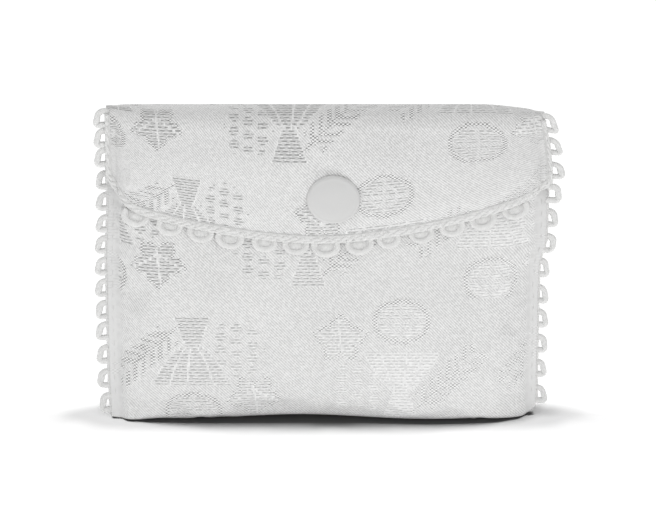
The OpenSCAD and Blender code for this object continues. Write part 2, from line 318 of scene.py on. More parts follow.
class Bundle:
    """Several closed parts that make one piece."""
    def __init__(self):
        self.verts, self.faces, self.uv, self.n = [], [], [], 0

    def add(self, part):
        verts, faces, uv = part
        self.verts.append(verts)
        self.uv.append(uv)
        self.faces += [tuple(i + self.n for i in f) for f in faces]
        self.n += len(verts)

    def make(self, name, material, flap=False):
        return new_object(name, hand_sewn(np.concatenate(self.verts), flap), self.faces, material,
                          np.concatenate(self.uv))


# ---------------------------------------------------------------- materials
class Num:
    """A number in a material's node tree, with arithmetic. In a product or sum it comes first."""
    def __init__(self, tree, socket):
        self.tree, self.socket = tree, socket

    def op(self, name, *others, clamp=False):
        n = self.tree.nodes.new("ShaderNodeMath")
        n.operation, n.use_clamp = name, clamp
        for i, v in enumerate((self, *others)):
            if isinstance(v, Num):
                self.tree.links.new(v.socket, n.inputs[i])
            else:
                n.inputs[i].default_value = v
        return Num(self.tree, n.outputs[0])

    def __add__(self, other):
        return self.op("ADD", other)

    def __sub__(self, other):
        return self.op("SUBTRACT", other)

    def __rsub__(self, other):
        return self.op("MULTIPLY_ADD", -1, other)

    def __mul__(self, other):
        return self.op("MULTIPLY", other)

    def __truediv__(self, other):
        return self.op("DIVIDE", other)

    def __abs__(self):
        return self.op("ABSOLUTE")

    def min(self, other):
        return self.op("MINIMUM", other)

    def max(self, other):
        return self.op("MAXIMUM", other)

    def fract(self):
        return self.op("FRACT")

    def floor(self):
        return self.op("FLOOR")

    def sin(self):
        return self.op("SINE")

    def root(self):
        return self.op("SQRT")

    def unit(self):
        """Held between 0 and 1."""
        return self.op("ADD", 0.0, clamp=True)

    def wave(self):
        """A sine with a repeat of 1."""
        return (self * (2 * math.pi)).sin()

    def crisp(self):
        """A wave with flattened tops."""
        return (self * 2.2).min(1.0).max(-1.0)

    def inside(self, soft=0.16):
        """1 where this distance is negative, 0 where it is positive, with a soft edge."""
        return self.op("MULTIPLY_ADD", -1 / soft, 0.5, clamp=True)

    def mix(self, a, b):
        """a where this is 0, b where it is 1."""
        return self * (b - a) + a


def material(name, color, rough, specular=0.5, sheen=0.0, coat=0.0):
    """A plain material, its node tree and its shader."""
    m = bpy.data.materials.new(name)
    m.use_nodes = True
    b = m.node_tree.nodes["Principled BSDF"]
    b.inputs["Base Color"].default_value = (*color, 1)
    b.inputs["Roughness"].default_value = rough
    b.inputs["Specular IOR Level"].default_value = specular
    b.inputs["Sheen Weight"].default_value = sheen
    b.inputs["Sheen Roughness"].default_value = 0.4
    b.inputs["Coat Weight"].default_value = coat
    b.inputs["Coat Roughness"].default_value = 0.25
    return m, m.node_tree, b


def uv_numbers(tree):
    """The place on the cloth in mm: across it and along it."""
    n = tree.nodes.new("ShaderNodeUVMap")
    n.uv_map = "cloth"
    s = tree.nodes.new("ShaderNodeSeparateXYZ")
    tree.links.new(n.outputs[0], s.inputs[0])
    return Num(tree, s.outputs[0]), Num(tree, s.outputs[1])


def place(tree):
    """The point on the object, in mm."""
    t = tree.nodes.new("ShaderNodeTexCoord")
    v = tree.nodes.new("ShaderNodeVectorMath")
    v.operation = "SCALE"
    v.inputs["Scale"].default_value = 1 / MM
    tree.links.new(t.outputs["Object"], v.inputs[0])
    return v.outputs[0]


def noise(tree, vector, scale, detail=3.0, rough=0.5):
    """Soft random variation between 0 and 1."""
    n = tree.nodes.new("ShaderNodeTexNoise")
    n.inputs["Scale"].default_value = scale
    n.inputs["Detail"].default_value = detail
    n.inputs["Roughness"].default_value = rough
    tree.links.new(vector, n.inputs["Vector"])
    return Num(tree, n.outputs["Fac"])


def speckle(tree, u, w):
    """A random number for each cell of the weave."""
    join = tree.nodes.new("ShaderNodeCombineXYZ")
    tree.links.new(u.floor().socket, join.inputs[0])
    tree.links.new(w.floor().socket, join.inputs[1])
    n = tree.nodes.new("ShaderNodeTexWhiteNoise")
    n.noise_dimensions = "2D"
    tree.links.new(join.outputs[0], n.inputs["Vector"])
    return Num(tree, n.outputs["Value"])


def tint(tree, shade, low, high):
    """A colour between two, by a number."""
    n = tree.nodes.new("ShaderNodeMix")
    n.data_type = "RGBA"
    tree.links.new(shade.socket, n.inputs["Factor"])
    n.inputs["A"].default_value = (*low, 1)
    n.inputs["B"].default_value = (*high, 1)
    return n.outputs["Result"]


def bump(tree, shader, height, distance, strength=1.0):
    """Fine relief. The distance is in the frame's metres."""
    n = tree.nodes.new("ShaderNodeBump")
    n.inputs["Strength"].default_value = strength
    n.inputs["Distance"].default_value = distance
    tree.links.new(height.socket, n.inputs["Height"])
    tree.links.new(n.outputs[0], shader.inputs["Normal"])


def motif(x, y):
    """The woven emblem, in mm about its middle: a round wafer over a cup, with grapes, a vine leaf
    and an ear of wheat. Returns where the cloth is covered by floats, by dots and by painted highlight
    lines."""
    # the wafer, a squarish oval with a plain cross in it
    wafer_y, wafer_r, ring_w, flatness = 10.2, 5.5, 0.5, 1.35
    wy = y - wafer_y
    xx, yy = x * x, wy * wy * flatness
    r = (xx * xx * 0.7 + yy * yy * 0.7 + xx * yy).root().root()
    ring = (abs(r - wafer_r) - ring_w).inside()
    cross = (0.4 - abs(x)).max(0.45 - abs(wy)).max(0.3 - abs(r - 2.6))
    disc = (r - 4.7).max(cross)
    # the cup, in panels that spread from its stem, and its foot
    cup_x = x - 0.2
    cup_low, cup_mid, cup_half, stem_w, flare = -7.4, -2.5, 4.9, 1.6, 7.2
    rise = ((y - cup_low) / (2 * cup_half)).max(0.0)
    cup_w = rise.op("POWER", 0.62) * flare + stem_w
    cup_h = abs(y - cup_mid) - cup_half
    bowl = (abs(cup_x) - cup_w).max(cup_h)
    panels = (abs(cup_x - cup_w * 0.12) - 0.22).min(abs(cup_x - cup_w * 0.56) - 0.22)
    panels = panels.min(abs(cup_x + cup_w * 0.55) - 0.22)
    foot_w = (y * -1 - 7.2) * 0.31 + 1.5
    foot_h = abs(y + 11.3) - 4.1
    foot = (abs(x) - foot_w).max(foot_h)
    # grapes: ovals in columns, each column a little lower than the last
    grape_x, col_w, row_h, grape_r = x + 13.4, 3.6, 3.3, 1.12
    col = (grape_x / col_w + 0.5).floor()
    gx = grape_x - col * col_w
    gy = abs(((y + 4.6 + col * 1.1) / row_h + 0.5).fract() - 0.5) * row_h
    berry = (gx * gx * 0.8 + gy * gy).root() - grape_r
    bx, by = x + 9.9, y + 7.2
    bunch = (bx * bx + by * by * 0.7).root() - 6.3
    # a vine leaf of five lobes with its tip up
    lx, ly = x + 13.8, y - 5.2
    turn = lx.op("ARCTAN2", ly) + math.pi / 2
    lobes = (turn * 5 - math.pi * 2).sin()
    teeth = (turn * 15 - math.pi * 7).sin() * 0.3
    reach = lobes + teeth + turn.sin() * 0.6 + 4.4
    leaf = (lx * lx + ly * ly).root() - reach
    vein = 0.24 - abs(lx + ly * 0.1)
    rib = 0.22 - abs(abs(lx) * 0.7 - ly - 1.5)
    # an ear of wheat: s runs along it and t across it
    wx, wz = x - 2.3, y + 13.6
    s = wx * 0.69 + wz * 0.724
    t = wz * 0.69 - wx * 0.724
    grain_run = 2.7
    grain = abs(((s - abs(t) * 1.1) / grain_run).fract() - 0.5) * grain_run - 0.7
    ear = (abs(t) - 3.2).max(abs(s - 13.4) - 9.2).max(0.5 - abs(t))
    stalk = (abs(t) - 0.35).max(abs(s - 8.0) - 8.0)
    floats = bowl.max(panels * -1).min(foot).min(berry.max(bunch)).min(leaf.max(vein).max(rib)).inside()
    outline = (abs(leaf - 0.4) - 0.35).min(grain.max(ear)).min(stalk)
    # fine bright lines, painted highlights, that edge the cup, its panels and the leaf's veins
    sides = (abs(abs(cup_x) - cup_w) - 0.18).max(cup_h)
    stem = (abs(abs(x) - foot_w) - 0.16).max(foot_h)
    veins = (vein * -1).min(rib * -1).max(leaf)
    seams = sides.min(stem).min(panels.max(bowl)).min(veins)
    return floats.max(disc.inside()), ring.max(outline.inside()), seams.inside()


PITCH_U, PITCH_W = 0.70, 0.78               # the weave's repeat across and along the strip
LATTICE_X, LATTICE_W = 16.8, 16.7           # the middle of one emblem, across and along the strip
ROW_H, ROW_SHIFT = 34.5, 21.1               # from one row of emblems to the next
PAIR_W = 88.5                               # an upright emblem and a turned one take this width
FIRST_X, TURNED_X = 22.1, 41.5              # the upright one's middle, and from there to the turned one
FLAT_EDGE = float(across(np.array(PAD)))    # where the flat seam starts, across the cloth
BACK_W = 60                                 # the pattern changes over this far past the front's foot


def satin_material():
    m, tree, b = material("brocade_satin", (0.8, 0.8, 0.79), 0.42, 0.4, sheen=0.1)
    u, w = uv_numbers(tree)
    # emblems are drawn on the weave's own cells
    cell_u = ((u / (PITCH_U / 2)).floor() + 0.5) * (PITCH_U / 2)
    cell_w = ((w / PITCH_W).floor() + 0.5) * PITCH_W
    # their lattice: a row every ROW_H, shifted sideways, of upright and turned ones in pairs
    k = ((cell_w - 15.6) / ROW_H + 0.5).floor()
    run = ((cell_u - LATTICE_X + k * ROW_SHIFT + FIRST_X) / PAIR_W).fract() * PAIR_W
    turned = (43.0 - run).inside(0.01)
    first_part = (w * -1 - BACK_W).inside(0.1)
    y = cell_w - LATTICE_W - k * ROW_H + turned * (first_part * 2.4 + 1.4)
    x = run - FIRST_X - turned * TURNED_X
    flip = 1 - turned * 2
    floats, dots, seams = motif(x * flip, y * flip)
    # weave: diagonal twill on the ground, weft floats on the emblems, dots on their outlines. Floats
    # and dots get a painted sheen that makes them brighter towards the pouch's lower right
    spot = place(tree)
    xyz = tree.nodes.new("ShaderNodeSeparateXYZ")
    tree.links.new(spot, xyz.inputs[0])
    x_mm, z_mm = Num(tree, xyz.outputs[0]), Num(tree, xyz.outputs[2])
    flat = (FLAT_EDGE - 0.4 - abs(u)).inside(0.8) * (w + BACK_W).inside(4.0).mix(1.0, 0.0)
    # painted shade and highlights: the dark and bright tones of the twill, floats and dots stand in for
    # the light on the threads' relief and sheen; the same numbers also drive the bump
    twill = (u / PITCH_U + w / PITCH_W).wave()
    grit = speckle(tree, u / (PITCH_U / 2), w / (PITCH_W / 2)) - 0.5
    ground = (twill * 0.17 + grit * 0.2) * (1 - flat * 0.75)
    pick = (w / PITCH_W + 0.25).wave()
    # painted sheen: floats and dots lighter towards the pouch's lower right, where the satin would catch
    # the light
    painted_sheen = (x_mm * 0.012 - z_mm * 0.011 + 0.85).unit()
    broken = ((u / 1.9 + (w / PITCH_W).floor() * 0.39).wave() + 0.9).max(0.0).min(1.0)
    dash = pick.crisp() * broken * (0.34 - painted_sheen * 0.14) + grit * 0.24 + painted_sheen * 0.3 - 0.2
    dot = (u / 0.95).wave().crisp() * pick.crisp() * 0.55 + grit * 0.3 + painted_sheen * 0.25 - 0.12
    plain = dots.mix(floats.mix(ground, dash), dot)
    # painted highlights: bright lines along the emblem's raised edges
    plain = seams.mix(plain, grit * 0.3 + 0.1) * (1 - flat * 0.8)
    patch = noise(tree, spot, 0.05, 2.0) - 0.5
    slub = noise(tree, spot, 0.9, 3.0, 0.7) - 0.5
    # the base colour carries the weave's painted shade and highlights, with random tone
    tone = (plain + patch * 0.14 + slub * 0.08 + 0.68).unit()
    tree.links.new(tint(tree, tone, (0.27, 0.27, 0.268), (0.97, 0.97, 0.965)), b.inputs["Base Color"])
    tree.links.new((floats * -0.12 + patch * 0.15 + 0.46).socket, b.inputs["Roughness"])
    bump(tree, b, plain * 1.2 + floats * 0.4, 0.00008, 0.7)
    return m


def plain_cloth(name, color, pitch, depth):
    """A fine plain weave."""
    m, tree, b = material(name, color, 0.6, 0.3, sheen=0.15)
    u, w = uv_numbers(tree)
    weave = (u / pitch).wave() * (w / pitch).wave() * 0.5 + 0.5
    soft = noise(tree, place(tree), 0.15, 3.0)
    tone = (weave * 0.6 + soft * 0.5).unit()
    tree.links.new(tint(tree, tone, tuple(c * 0.86 for c in color), color), b.inputs["Base Color"])
    bump(tree, b, weave, depth, 0.7)
    return m


def wadding_material():
    m, tree, b = material("wadding", (0.86, 0.86, 0.85), 0.95, 0.1, sheen=0.4)
    spot = place(tree)
    fibre = noise(tree, spot, 2.2, 6.0, 0.7)
    clump = noise(tree, spot, 0.4, 3.0)
    tone = (fibre * 0.6 + clump * 0.5).unit()
    tree.links.new(tint(tree, tone, (0.7, 0.7, 0.69), (0.9, 0.9, 0.89)), b.inputs["Base Color"])
    bump(tree, b, fibre, 0.0004, 0.8)
    return m


def cord_material(name, pitch, slope, color=(0.88, 0.88, 0.872)):
    """A cord wrapped in fine thread: slanting ridges along it."""
    m, tree, b = material(name, color, 0.55, 0.35, sheen=0.2)
    u, w = uv_numbers(tree)
    wrap = (w / pitch + u * slope).wave() * 0.5 + 0.5
    soft = noise(tree, place(tree), 1.1, 3.0)
    tone = (wrap * 0.4 + soft * 1.2 - 0.2).unit()
    tree.links.new(tint(tree, tone, tuple(c * 0.82 for c in color), color), b.inputs["Base Color"])
    bump(tree, b, wrap + soft * 2.0, 0.00008, 0.8)
    return m


def resin_material():
    m, tree, b = material("snap_resin", (0.72, 0.72, 0.715), 0.38, 0.45, coat=0.15)
    spot = place(tree)
    grain = noise(tree, spot, 1.6, 4.0)
    drift = noise(tree, spot, 0.12, 2.0)
    tone = (grain * 0.25 + drift * 0.8).unit()
    tree.links.new(tint(tree, tone, (0.62, 0.62, 0.615), (0.7, 0.7, 0.695)), b.inputs["Base Color"])
    tree.links.new((grain * 0.12 + 0.33).socket, b.inputs["Roughness"])
    bump(tree, b, grain, 0.00003, 0.5)
    return m


SATIN_MAT = satin_material()
LINING_MAT = plain_cloth("lining_cloth", (0.84, 0.84, 0.83), 0.42, 0.00005)
WAD_MAT = wadding_material()
GIMP_MAT = cord_material("gimp_cord", 0.34, 0.6)
THREAD_MAT = cord_material("sewing_thread", 0.16, 1.5)
RESIN_MAT = resin_material()


# ---------------------------------------------------------------- how the cloth puffs out
def cloth_pull(rows, x):
    """Cloth simulation of the whole strip. It is held at the sides, the mouth, the flap's edge, the
    snap and where it stands. Returns how far each point of the grid moves, in mm."""
    base = grid(rows, x, 0.0)
    n_rows, n_cols = base.shape[:2]
    scale = 6.0                             # simulated larger than life, where the solver is steady
    mesh = bpy.data.meshes.new("pull")
    points = (base.reshape(-1, 3) * MM * scale).tolist()
    mesh.from_pydata(points, [], grid_faces(n_rows, n_cols).tolist())
    ob = bpy.data.objects.new("pull", mesh)
    bpy.context.scene.collection.objects.link(ob)
    pin = np.zeros((n_rows, n_cols), bool)
    pin[:, np.abs(x) > PAD - 0.3] = True
    pin[[0, -1]] = True
    pin |= (np.hypot(base[..., 0] - SNAP_X, base[..., 2] - SNAP_Z) < CAP_R) & (base[..., 1] < 0)
    pin |= base[..., 2] < 0.05
    group = ob.vertex_groups.new(name="pin")
    group.add(np.nonzero(pin.ravel())[0].tolist(), 1.0, "REPLACE")
    mod = ob.modifiers.new("cloth", "CLOTH")
    s = mod.settings
    s.quality = 6
    s.mass = 0.15
    s.tension_stiffness = s.compression_stiffness = 18
    s.shear_stiffness = 6
    s.bending_stiffness = 0.35
    s.air_damping = 2
    s.use_pressure = True
    s.uniform_pressure_force = 1.3
    s.shrink_min = -0.022
    s.vertex_group_mass = "pin"
    s.effector_weights.gravity = 0
    mod.collision_settings.use_collision = False
    scene = bpy.context.scene
    for frame_number in range(1, 21):
        scene.frame_set(frame_number)
    co = np.empty(len(mesh.vertices) * 3)
    ob.evaluated_get(bpy.context.evaluated_depsgraph_get()).data.vertices.foreach_get("co", co)
    move = (co.reshape(-1, 3) / (MM * scale) - base.reshape(-1, 3)).reshape(n_rows, n_cols, 3)
    scene.frame_set(1)
    bpy.data.objects.remove(ob)
    return move


def sample(field, rows_from, x_from, rows_to, x_to):
    """A field on one grid read on another that spans the same strip."""
    r = np.interp(rows_to, rows_from, np.arange(len(rows_from)))
    c = np.interp(x_to, x_from, np.arange(len(x_from)))
    r0 = np.minimum(r.astype(int), len(rows_from) - 2)
    c0 = np.minimum(c.astype(int), len(x_from) - 2)
    fr, fc = (r - r0)[:, None, None], (c - c0)[None, :, None]
    low = field[r0][:, c0] * (1 - fc) + field[r0][:, c0 + 1] * fc
    high = field[r0 + 1][:, c0] * (1 - fc) + field[r0 + 1][:, c0 + 1] * fc
    return low * (1 - fr) + high * fr


STEP, COARSE = 0.8, 1.7                     # spacing of the cloth's rows, and of the simulation's
pocket_rows, flap_rows = strip_rows(STEP)
s_all = along(pocket_rows + flap_rows[1:])
s_pocket, s_flap = s_all[:len(pocket_rows)], s_all[len(pocket_rows) - 1:]
coarse_pocket, coarse_flap = strip_rows(COARSE)
coarse_rows = coarse_pocket + coarse_flap[1:]
coarse_s = along(coarse_rows)
coarse_s = coarse_s * s_all[-1] / coarse_s[-1]
coarse_x = columns(COARSE, EDGE_X)
pull = cloth_pull(coarse_rows, coarse_x)


def push(rows, s, x, face):
    """How far the cloth's face stands off the plain shape: the simulated pull and the seams' puckers."""
    n = normals(face)
    amount = (sample(pull, coarse_s, coarse_x, s, x) * n).sum(-1)
    kinds = np.array([k for k, _ in rows])
    z = face[..., 2]
    # it stays nearly flat under the flap, on the fold and beside the flap's edge
    on_front = np.array([k == "front" for k, _ in rows])[:, None]
    high = 0.5 - 0.38 * on_front * over(z, TIP - 20, 16)
    calm = np.array([ease((1 - t) * FLAP_RUN / 6) if k == "flap" else 1.0 for k, t in rows])[:, None]
    calm = calm * (1 - 0.8 * over(z, 64, 9))
    amount = np.clip(amount, -0.3, high) * calm
    inset = PAD - np.abs(face[..., 0])
    pucker = hump(np.maximum(inset, 0), 0, 3.2) * (inset > -0.6)
    phase = 0.9 * np.sin(z * 0.31 + 1.3 * np.sign(face[..., 0])) + 0.6 * np.sin(z * 0.83)
    upright = np.isin(kinds, ("front", "back"))[:, None]
    pucker_h, pucker_run = 0.14, 3.1
    return amount + pucker_h * pucker * np.sin(2 * np.pi * z / pucker_run + phase) * upright, n


def near_snap(face, radius, soft):
    """1 under the snap, easing to 0 outside it, on the front only."""
    r = np.hypot(face[..., 0] - SNAP_X, face[..., 2] - SNAP_Z)
    return ease((radius + soft - r) / soft) * (face[..., 1] < 0)


def hem(distance, depth, width=0.7):
    """How far a turned edge rounds down towards its end."""
    t = np.clip(distance / width, 0, 1)
    return depth * (1 - np.sqrt(1 - (1 - t) ** 2))


PIECE = {"satin": "_satin_cloth", "wadding": "_wadding_layer", "lining": "_lining_cloth"}
COLUMN = 0.95                               # spacing of the cloth's points across it
SNAP_PRESS = 5.2                            # radius pressed thin by the snap's flanges


def make_plies(half_name, rows, s, nodes):
    """Satin, wadding and lining of one half of the strip: each a closed sheet that bends at the fold."""
    wide = columns(COLUMN, EDGE_X)
    padded = columns(COLUMN, PAD - 0.7)
    flap = half_name == "flap"
    made = {}
    for layer, top, thick, x, mat in (("satin", 0.0, SATIN, wide, SATIN_MAT),
                                      ("wadding", WAD_D, WAD_T, padded, WAD_MAT),
                                      ("lining", LIN_D, LIN_T, padded, LINING_MAT)):
        face = grid(rows, x, 0.0)
        amount, n = push(rows, s, x, face)
        high, low = top, top + thick
        if flap:
            on = np.array([k == "flap" for k, _ in rows])[:, None]
            if layer == "satin":
                left = np.array([(1 - t) * FLAP_RUN if k == "flap" else 9 for k, t in rows])[:, None]
                high = high + 0.10 * near_snap(face, CAP_R - 0.4, 2.4) * on + hem(left, 0.3)
            else:
                # the inner layers are pressed to almost nothing against the satin
                sink = near_snap(face, SNAP_PRESS, 1.6) * on
                level = 0.41 if layer == "lining" else 0.38
                high = high * (1 - sink) + level * sink
                low = low * (1 - sink) + (level + 0.02) * sink
        else:
            on = np.array([k == "front" for k, _ in rows])[:, None]
            if layer == "satin":
                left = np.array([MOUTH - t if k == "front" else 9 for k, t in rows])[:, None]
                # the snap presses it back to the lining, with the wadding between
                sink = 0.87 * near_snap(face, SNAP_PRESS, 0.8) * on
                high, low = high + sink + hem(left, 0.25), low + sink
            elif layer == "wadding":
                sink = near_snap(face, SNAP_PRESS, 0.8) * on
                high = high * (1 - sink) + 1.25 * sink
                low = low * (1 - sink) + 1.28 * sink
        outer = hand_sewn(grid(rows, x, high) + n * amount[..., None], flap)
        inner = hand_sewn(grid(rows, x, low) + n * amount[..., None], flap)
        # the flap's cloth is eased in on its left
        tight = 4.5 * under(x, -8, 35) if flap else 0.0
        u = across(x) - tight
        uv = np.stack(np.broadcast_arrays(u[None, :], (MOUTH - s)[:, None]), -1).reshape(-1, 2)
        ob = ply(half_name + PIECE[layer], outer, inner, uv, mat)
        made[layer] = ob, (2 * float(across(x)[-1]) * MM, float(s[-1] - s[0]) * MM)
        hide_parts(*[node + "_" + layer for node in nodes])
        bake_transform(ob)
    for layer in ("satin", "lining"):
        ob, flat = made[layer]


# the strip's two halves, the pocket's and the flap's, which meet on top of the fold
make_plies("pocket", pocket_rows, s_pocket, ["pocket"])
make_plies("flap", flap_rows, s_flap, ["flap", "fold"])

# ---------------------------------------------------------------- lace
rng = np.random.default_rng(7)
REACH, LOOP_H = 2.7, 4.85                   # how far a side loop stands out, and its height
CORD, CORD_FLAT = 1.42, 0.95                # its cord's width, and its thickness front to back


def picot(reach, tall, cord):
    """The middle line of one loop, out along +x: round on top, square at its outer low corner."""
    h, w = tall / 2 - cord / 2, reach - cord / 2
    pts = [(-0.6, h * 0.84), (-0.1, h * 0.98)]
    for a in np.radians(np.linspace(80, 0, 13)):
        pts.append((w * 0.88 * math.cos(a) ** 0.92, h * 1.02 * math.sin(a) ** 0.9))
    pts += [(w * 0.95, -h * 0.3), (w, -h * 0.6), (w - 0.04, -h * 0.84), (w - 0.3, -h * 0.99)]
    pts += [(w - 0.7, -h * 1.02), (w * 0.4, -h * 0.99), (w * 0.1, -h * 0.95), (-0.6, -h * 0.86)]
    return resampled(np.array(pts), 34)


def ring_loop(reach, tall):
    """The middle line of a loop pressed flat against the cloth: a low open ring."""
    a = np.radians(np.linspace(208, -28, 30))
    return np.stack([reach * (0.42 + 0.58 * np.sin(a)) - 0.1, tall / 2 * np.cos(a)], 1)


def resampled(p, n):
    """The same line through n even points."""
    run = np.concatenate([[0], np.cumsum(np.linalg.norm(np.diff(p, axis=0), axis=1))])
    t = np.linspace(0, run[-1], n)
    return np.stack([np.interp(t, run, p[:, k]) for k in range(p.shape[1])], 1)


def placed(line, origin, out, up, lean):
    """A loop's middle line at origin, leaning more the further it stands out, and the way it faces."""
    face = np.cross(out, up)
    away = np.maximum(line[:, :1], 0)
    flat = np.asarray(origin) + line[:, :1] * out + line[:, 1:] * up
    return flat + lean * (away / REACH) ** 1.5 * face, face


def add_loop(bundle, line, origin, out, up, wide, thick, lean=0.0):
    """A loop of gimp cord at origin, standing out along `out`, with its round side towards `up`."""
    path, face = placed(line, origin, out, up, lean)
    swell = wide * (1 + 0.07 * np.sin(np.linspace(0, 9, len(line)) + rng.uniform(0, 6)))
    bundle.add(tube(path, face, swell, thick, 12, power=0.85))


def side_lace(sign, count, highest, lowest, bow, node, name):
    """The loops down one side seam, and their tape. The bow moves the middle ones up."""
    lace = Bundle()
    for k in range(count):
        share = k / (count - 1)
        even = highest + (lowest - highest) * share
        z = even + bow * math.sin(math.pi * share ** 1.3) + rng.normal(0, 0.08)
        at = (sign * (EDGE_X + 0.15 + rng.normal(0, 0.07)), rng.normal(0, 0.05), z)
        tilt = rng.normal(0, 0.04)
        out = np.array([sign * math.cos(tilt), 0, math.sin(tilt)])
        up = np.array([-sign * math.sin(tilt), 0, math.cos(tilt)])
        size = 1 + rng.normal(0, 0.025)
        add_loop(lace, picot(REACH * size, LOOP_H * size, CORD), at, out, up, CORD, CORD_FLAT,
                 lean=rng.normal(0, 0.15) * sign)
    # the tape that carries the loops, whose edge shows along the seam
    z = np.linspace(2.2 if sign < 0 else 3.4, MOUTH - 2, 120)
    x = sign * (EDGE_X - 0.15 + 0.05 * np.sin(z * 1.7))
    lace.add(tube(np.stack([x, 0 * z, z], 1), (0, 1, 0), 1.5, 0.8, 10, power=0.7))
    ob = lace.make(name, GIMP_MAT)
    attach(ob, "pouch")
    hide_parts(node)


side_lace(-1, 11, 60.0, 3.6, 1.0, "left_lace", "left_picot_lace")
side_lace(1, 8, 50.5, 5.4, 0.2, "right_lace", "right_picot_lace")


def edge_path():
    """The flap's edge, from the left end of the fold to the right end: x and z, evenly spaced."""
    h = EDGE_X
    pts = [(-h, z) for z in np.arange(TALL - 1, edge(-h) + 0.3, -0.5)]
    pts += [(x, edge(x)) for x in h * np.sin(np.radians(np.linspace(-90, 90, 241)))]
    pts += [(h, z) for z in np.arange(TALL - 1, edge(h) + 0.3, -0.5)[::-1]]
    p = resampled(np.array(pts, float), 700)
    for _ in range(40):
        p[1:-1] = (p[:-2] + 2 * p[1:-1] + p[2:]) / 4
    return p


rim = edge_path()
rim_run = np.concatenate([[0], np.cumsum(np.linalg.norm(np.diff(rim, axis=0), axis=1))])
rim_dir = np.gradient(rim, axis=0)
rim_dir /= np.linalg.norm(rim_dir, axis=1, keepdims=True)
rim_out = np.stack([rim_dir[:, 1], -rim_dir[:, 0]], 1)
on_curve = np.abs(rim_dir[:, 0]) ** 1.5             # 0 up the flap's sides, 1 along its curve


def on_flap(xz, d):
    """The point at x and z, d mm below the flap's face."""
    x = np.clip(xz[..., 0], -EDGE_X, EDGE_X)
    return np.stack([xz[..., 0], -(half(x, np.minimum(xz[..., 1], FOLD_Z)) + OUT - d), xz[..., 1]], -1)


def ribbon(offsets, depths, thicks):
    """A flat tape along the flap's edge, given by how far out and how deep it is across its width."""
    upper, lower = [], []
    for off, d, thick in zip(offsets, depths, thicks):
        p = rim + rim_out * np.asarray(off)[:, None]
        upper.append(on_flap(p, d - thick / 2))
        lower.append(on_flap(p, d + thick / 2))
    n, m = len(rim), len(offsets)
    verts = np.concatenate([np.stack(upper, 1), np.stack(lower, 1)[:, ::-1]], 1)
    faces = []
    for i in range(n - 1):
        for j in range(2 * m):
            k = (j + 1) % (2 * m)
            faces.append((i * 2 * m + j, (i + 1) * 2 * m + j, (i + 1) * 2 * m + k, i * 2 * m + k))
    faces.append(tuple(range(2 * m)))
    faces.append(tuple((n - 1) * 2 * m + j for j in range(2 * m - 1, -1, -1)))
    width = np.concatenate([np.arange(m), np.arange(m)[::-1]]) * 0.6
    uv = np.stack(np.broadcast_arrays(width[None, :], rim_run[:, None]), -1).reshape(-1, 2)
    return verts.reshape(-1, 3), faces, uv


def drop(off):
    """How deep the header lies: on the flap's face, then down over its edge towards the pocket."""
    return 0.02 + 1.25 * ease((np.asarray(off) + 0.3) / 2.6)


def web(line, origin, out, up, lean):
    """The soft open weave inside a loop: a thin sheet within its middle line."""
    path, face = placed(line, origin, out, up, lean)
    n = len(path)
    verts = np.concatenate([path + face * 0.1, path - face * 0.1])
    faces = [tuple(range(n)), tuple(range(2 * n - 1, n - 1, -1))]
    faces += [(k, n + k, n + (k + 1) % n, (k + 1) % n) for k in range(n)]
    return verts, faces, np.concatenate([line, line])


def flap_lace():
    """The header along the flap's edge, the rings under its curve and the loops up its sides."""
    lace = Bundle()
    # the header: a soft flat tape that covers the flap's raw edge
    outer = 0.3 + 1.6 * on_curve
    inner = -0.9 + 0.2 * on_curve
    shares = np.linspace(0, 1, 9)
    offsets = [inner + (outer - inner) * t for t in shares]
    depths = [drop(off) for off in offsets]
    lace.add(ribbon(offsets, depths, [0.2, 0.3, 0.36, 0.4, 0.4, 0.4, 0.4, 0.36, 0.3]))
    # two uneven twisted strands along it
    r, twist_run, knot_run = 0.36, 4.1, 1.7
    for k in range(2):
        phase = 2 * np.pi * (rim_run / twist_run + k / 2 + 0.16 * np.sin(rim_run / 2.9))
        off = inner * 0.35 + outer * 0.5 + (0.2 + 0.4 * on_curve) * np.sin(phase)
        deep = drop(off) - 0.16 + 0.16 * np.cos(phase)
        path = on_flap(rim + rim_out * off[:, None], deep)
        knotted = 1 + 0.22 * np.sin(2 * np.pi * rim_run / knot_run + k)
        lace.add(tube(path, (0, -1, 0), 2 * r * (0.8 + 0.35 * on_curve) * knotted, 1.6 * r * knotted, 8))
    # the rings under it, pressed flat: every other one runs the other way round
    rings, spread = 13, 41.0
    for k in range(rings):
        x = spread * (2 * k / (rings - 1) - 1) + rng.normal(0, 0.5)
        i = int(np.argmin(np.hypot(rim[:, 0] - x, rim[:, 1] - edge(x))))
        size = 1 + rng.normal(0, 0.06)
        out = np.array([rim_out[i][0], 0, rim_out[i][1]])
        up = np.array([rim_dir[i][0], 0, rim_dir[i][1]]) * (1 if k % 2 else -1)
        lean = 0.42 if k % 2 else -0.42
        line = ring_loop(3.1 * size, 4.7 * size)
        start = on_flap(rim[i] + rim_out[i] * (outer[i] - 0.7), 1.3)
        add_loop(lace, line, start, out, up, 1.35 + 0.2 * rng.random(), 0.62, lean)
        lace.add(web(line, start - (0, 0.08, 0), out, up, lean))
    # the loops up the two sides
    for sign, heights in ((-1, (76.2, 71.4, 66.7)), (1, (76.6, 70.6, 63.8, 57.8))):
        for z in heights:
            i = int(np.argmin(np.hypot(rim[:, 0] - sign * EDGE_X, rim[:, 1] - z)))
            i = int(np.clip(i, 4, len(rim) - 5))
            line = picot(REACH, LOOP_H, CORD) + (0, z - rim[i][1])
            out, up = np.array([sign, 0, 0.0]), np.array([0, 0, 1.0])
            origin = on_flap(np.array([sign * (EDGE_X + 0.15), rim[i][1]]), 0.7)
            add_loop(lace, line, origin, out, up, CORD, CORD_FLAT)
    ob = lace.make("flap_braid_and_picots", GIMP_MAT, flap=True)
    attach(ob, "flap")
    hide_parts("flap_lace")


flap_lace()


